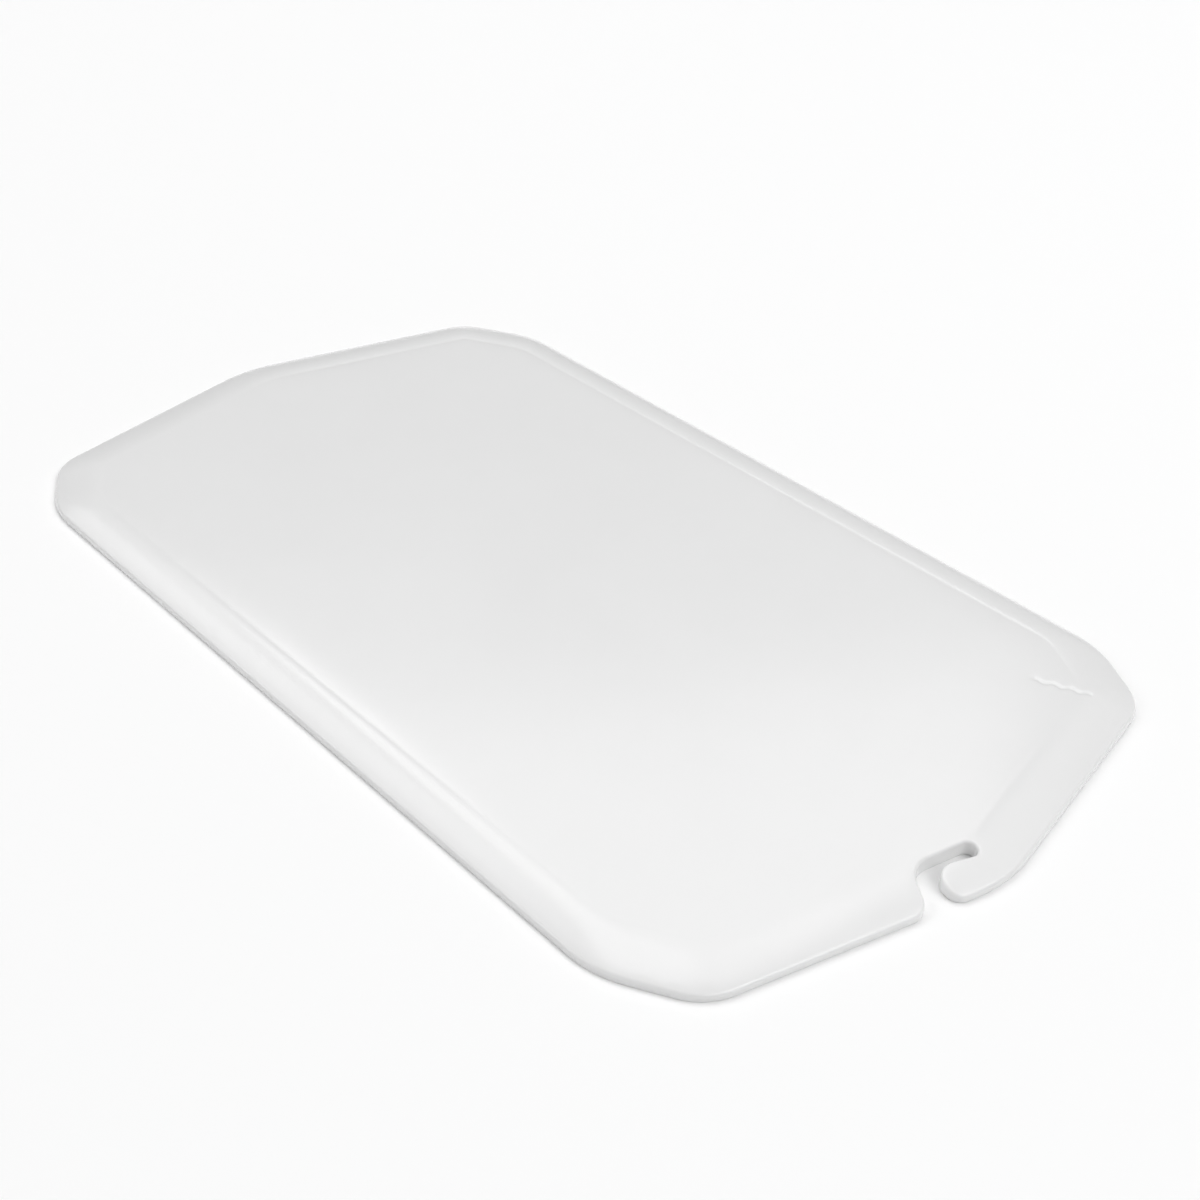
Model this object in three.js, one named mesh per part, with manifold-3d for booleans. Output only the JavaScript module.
// Cutting board: one solid plastic board with cut corners, shallow pointed ends, a border that falls
// away from the flat top to a thin rim, and a hooked hanging slot beside the point of the front end.
// Millimetres, +Z up. X runs across the board, Y along it (front end at -Y), Z = 0 is the underside.

import * as THREE from 'three';
import { mergeVertices } from 'three/addons/utils/BufferGeometryUtils.js';
import Module from 'manifold-3d';

// ---- Driving dimensions ---------------------------------------------------------------------------

const BOARD_LENGTH = 524; // over the two rounded points
const BOARD_WIDTH = 300; // over the two straight sides
const THICKNESS = 7; // at the flat top
const RIM_THICKNESS = 3.1; // at the outer edge

const SIDE_LENGTH = 395; // straight side, to its sharp corners
const END_WIDTH = 258; // across the two end edges, between the corner cuts
const END_RISE = 30; // how far the point of an end stands out past the corner cuts
const SIDE_CORNER_RADIUS = 50; // side to corner cut
const END_CORNER_RADIUS = 27; // corner cut to end edge
const POINT_RADIUS = 72; // the two end edges meet here

const SIDE_BORDER = 18.3; // rim to crease along the sides
const END_BORDER = 23; // rim to crease along the ends and corner cuts
const CREASE_DEPTH = 0.35; // below the flat top
const CREASE_SPREAD = 0.14; // how fast the crease fades, as a share of the border
const FLAT_START = 1.4; // where the flat top begins, as a share of the border
const BORDER_CURVE = 1.7; // exponent of the fall: 1 is a straight slope, 2 a parabola

// Hanging slot, in the board's own X and Y.
const MOUTH_LEFT = -36.8; // X where the mouth's left wall would meet the end edge
const MOUTH_WALL_ANGLE = 60.8; // degrees from X
const MOUTH_CORNER_RADIUS = 9;
const BEND_RADIUS = 12.5; // where the mouth turns into the throat
const THROAT_ANGLE = -10.9; // degrees from X, along the far wall
const THROAT_FAR_POINT = new THREE.Vector2(-14.5, -238.9); // a point on the far wall
const POCKET_RIGHT = 1.4; // X of the slot's closed end
const POCKET_RADIUS = 3.4;
const TONGUE_ANGLE = -19; // degrees from X, along the tongue's inner side
const TONGUE_INNER_POINT = new THREE.Vector2(-8, -246.5); // a point on that inner side
const TONGUE_TIP = -23.7; // X of the tongue's rounded tip
const TONGUE_INNER_RADIUS = 8.8; // tip to inner side
const TONGUE_OUTER_RADIUS = 6.2; // tip to end edge

const CORNER_STEPS = 7; // straight pieces in each rounded corner
const OVERHANG = -0.1; // the blank reaches this share of the border past the rim
const CUT_MARGIN = 5; // the outline's prism stands this far above and below the blank

// ---- Plan outline ---------------------------------------------------------------------------------

// An end edge drops END_RISE over half of END_WIDTH, and rounding the point takes a little off it.
const endAngle = Math.atan2(END_RISE, END_WIDTH / 2);
const pointRounding = POINT_RADIUS * (1 / Math.cos(endAngle) - 1);
const pointY = BOARD_LENGTH / 2 + pointRounding;
const cutY = pointY - END_RISE;

const halfWidth = BOARD_WIDTH / 2;
const halfSide = SIDE_LENGTH / 2;
const halfEnd = END_WIDTH / 2;

// Ten sharp corners, anticlockwise from the front point, each with its rounding.
const boardCorners = [
  { x: 0, y: -pointY, radius: POINT_RADIUS },
  { x: halfEnd, y: -cutY, radius: END_CORNER_RADIUS },
  { x: halfWidth, y: -halfSide, radius: SIDE_CORNER_RADIUS },
  { x: halfWidth, y: halfSide, radius: SIDE_CORNER_RADIUS },
  { x: halfEnd, y: cutY, radius: END_CORNER_RADIUS },
  { x: 0, y: pointY, radius: POINT_RADIUS },
  { x: -halfEnd, y: cutY, radius: END_CORNER_RADIUS },
  { x: -halfWidth, y: halfSide, radius: SIDE_CORNER_RADIUS },
  { x: -halfWidth, y: -halfSide, radius: SIDE_CORNER_RADIUS },
  { x: -halfEnd, y: -cutY, radius: END_CORNER_RADIUS },
];

// The border's width along each edge: edge i runs from corner i to corner i + 1.
const borderWidths = boardCorners.map((corner, i) => {
  const next = boardCorners[(i + 1) % boardCorners.length];
  return corner.x === next.x ? SIDE_BORDER : END_BORDER;
});

function directionAt(degrees) {
  const angle = THREE.MathUtils.degToRad(degrees);
  return new THREE.Vector2(Math.cos(angle), Math.sin(angle));
}

// Where the line through a along direction u meets the line through b along direction v.
function meet(a, u, b, v) {
  const along = new THREE.Vector2().subVectors(b, a).cross(v) / u.cross(v);
  return a.clone().addScaledVector(u, along);
}

// Replaces each sharp corner with an arc of its radius, as CORNER_STEPS straight pieces.
function roundCorners(corners) {
  const points = [];
  corners.forEach((corner, i) => {
    const here = new THREE.Vector2(corner.x, corner.y);
    const before = corners[(i + corners.length - 1) % corners.length];
    const after = corners[(i + 1) % corners.length];
    const incoming = new THREE.Vector2(here.x - before.x, here.y - before.y).normalize();
    const outgoing = new THREE.Vector2(after.x - here.x, after.y - here.y).normalize();
    const turn = Math.atan2(incoming.cross(outgoing), incoming.dot(outgoing));
    const tangent = corner.radius * Math.tan(Math.abs(turn) / 2);
    const start = here.clone().addScaledVector(incoming, -tangent);
    const leftward = new THREE.Vector2(-incoming.y, incoming.x);
    const centre = start.clone().addScaledVector(leftward, corner.radius * Math.sign(turn));
    for (let step = 0; step <= CORNER_STEPS; step += 1) {
      points.push(start.clone().rotateAround(centre, (turn * step) / CORNER_STEPS));
    }
  });
  return points;
}

// The board's corners moved in by a share of the border, each edge by its own border's width.
function insetCorners(share) {
  const count = boardCorners.length;
  const edges = boardCorners.map((corner, i) => {
    const next = boardCorners[(i + 1) % count];
    const along = new THREE.Vector2(next.x - corner.x, next.y - corner.y).normalize();
    const inward = new THREE.Vector2(-along.y, along.x);
    const start = new THREE.Vector2(corner.x, corner.y);
    start.addScaledVector(inward, borderWidths[i] * share);
    return { start, along };
  });
  return boardCorners.map((corner, i) => {
    const before = edges[(i + count - 1) % count];
    const after = edges[i];
    const place = meet(before.start, before.along, after.start, after.along);
    const shrink = (share * (borderWidths[(i + count - 1) % count] + borderWidths[i])) / 2;
    return { x: place.x, y: place.y, radius: Math.max(corner.radius - shrink, 2) };
  });
}

// The slot's corners, from the mouth's left wall round the closed end and back along the tongue.
function slotCorners() {
  const endEdge = directionAt(THREE.MathUtils.radToDeg(-endAngle));
  const frontPoint = new THREE.Vector2(0, -pointY);
  const vertical = new THREE.Vector2(0, 1);
  const onEndEdge = (x) => meet(frontPoint, endEdge, new THREE.Vector2(x, 0), vertical);
  const mouthWall = directionAt(MOUTH_WALL_ANGLE);
  const throat = directionAt(THROAT_ANGLE);
  const tongue = directionAt(TONGUE_ANGLE);
  const pocketEnd = new THREE.Vector2(POCKET_RIGHT, 0);
  const tongueTip = new THREE.Vector2(TONGUE_TIP, 0);

  const mouthCorner = onEndEdge(MOUTH_LEFT);
  const bend = meet(mouthCorner, mouthWall, THROAT_FAR_POINT, throat);
  const pocketFar = meet(THROAT_FAR_POINT, throat, pocketEnd, vertical);
  const pocketNear = meet(TONGUE_INNER_POINT, tongue, pocketEnd, vertical);
  const tipInner = meet(TONGUE_INNER_POINT, tongue, tongueTip, vertical);
  const tipOuter = onEndEdge(TONGUE_TIP);
  return [
    { x: mouthCorner.x, y: mouthCorner.y, radius: MOUTH_CORNER_RADIUS },
    { x: bend.x, y: bend.y, radius: BEND_RADIUS },
    { x: pocketFar.x, y: pocketFar.y, radius: POCKET_RADIUS },
    { x: pocketNear.x, y: pocketNear.y, radius: POCKET_RADIUS },
    { x: tipInner.x, y: tipInner.y, radius: TONGUE_INNER_RADIUS },
    { x: tipOuter.x, y: tipOuter.y, radius: TONGUE_OUTER_RADIUS },
  ];
}

// ---- Solids ---------------------------------------------------------------------------------------

// Height of the top surface at a share of the border: 0 at the rim, 1 at the crease.
function topHeight(share) {
  if (share >= FLAT_START) {
    return THICKNESS;
  }
  const fall = (THICKNESS - RIM_THICKNESS) * Math.pow(Math.max(1 - share, 0), BORDER_CURVE);
  const crease = CREASE_DEPTH * Math.exp(-Math.abs(1 - share) / CREASE_SPREAD);
  return THICKNESS - fall - crease;
}

// A closed solid from rings of equal point counts: the first and last rings are filled in.
function solidFromRings(rings) {
  const count = rings[0].points.length;
  const positions = [];
  const indices = [];
  rings.forEach(({ points, z }) => points.forEach((point) => positions.push(point.x, point.y, z)));
  for (let ring = 0; ring + 1 < rings.length; ring += 1) {
    for (let i = 0; i < count; i += 1) {
      const a = ring * count + i;
      const b = ring * count + ((i + 1) % count);
      indices.push(a, b, b + count, a, b + count, a + count);
    }
  }
  const last = (rings.length - 1) * count;
  THREE.ShapeUtils.triangulateShape(rings[0].points, []).forEach(([a, b, c]) => indices.push(c, b, a));
  THREE.ShapeUtils.triangulateShape(rings.at(-1).points, []).forEach(([a, b, c]) => {
    indices.push(last + a, last + b, last + c);
  });
  const geometry = new THREE.BufferGeometry();
  geometry.setAttribute('position', new THREE.Float32BufferAttribute(positions, 3));
  geometry.setIndex(indices);
  return geometry;
}

// The blank: a flat underside and the full top surface, reaching a little past the rim all round.
function blankGeometry() {
  const shares = [OVERHANG, 0.1, 0.25, 0.4, 0.55, 0.7, 0.85, 0.94, 1, 1.06, 1.18, FLAT_START];
  const rings = shares.map((share) => ({
    points: roundCorners(insetCorners(share)),
    z: topHeight(share),
  }));
  return solidFromRings([{ points: rings[0].points, z: 0 }, ...rings]);
}

// The outline with the slot open to the front end, as an upright prism through the blank.
function outlineGeometry() {
  const outline = new THREE.Shape(roundCorners([...boardCorners, ...slotCorners()]));
  const prism = new THREE.ExtrudeGeometry(outline, {
    depth: THICKNESS + 2 * CUT_MARGIN,
    bevelEnabled: false,
  });
  prism.translate(0, 0, -CUT_MARGIN);
  return prism;
}

const wasm = await Module();
wasm.setup();

function toManifold(geometry) {
  geometry.deleteAttribute('normal');
  geometry.deleteAttribute('uv');
  const merged = mergeVertices(geometry);
  return new wasm.Manifold(new wasm.Mesh({
    numProp: 3,
    vertProperties: new Float32Array(merged.attributes.position.array),
    triVerts: new Uint32Array(merged.index.array),
  }));
}

function toGeometry(manifold) {
  const mesh = manifold.getMesh();
  const geometry = new THREE.BufferGeometry();
  geometry.setAttribute('position', new THREE.BufferAttribute(mesh.vertProperties, 3));
  geometry.setIndex(new THREE.BufferAttribute(mesh.triVerts, 1));
  geometry.computeVertexNormals();
  return geometry;
}

function makeBoard() {
  const solid = toManifold(blankGeometry()).intersect(toManifold(outlineGeometry()));
  const whitePlastic = new THREE.MeshStandardMaterial({ color: 0xf1f2f2, roughness: 0.32, metalness: 0 });
  const board = new THREE.Mesh(toGeometry(solid), whitePlastic);
  board.name = 'board';
  return board;
}

const cuttingBoard = new THREE.Group();
cuttingBoard.add(makeBoard());

export default cuttingBoard;
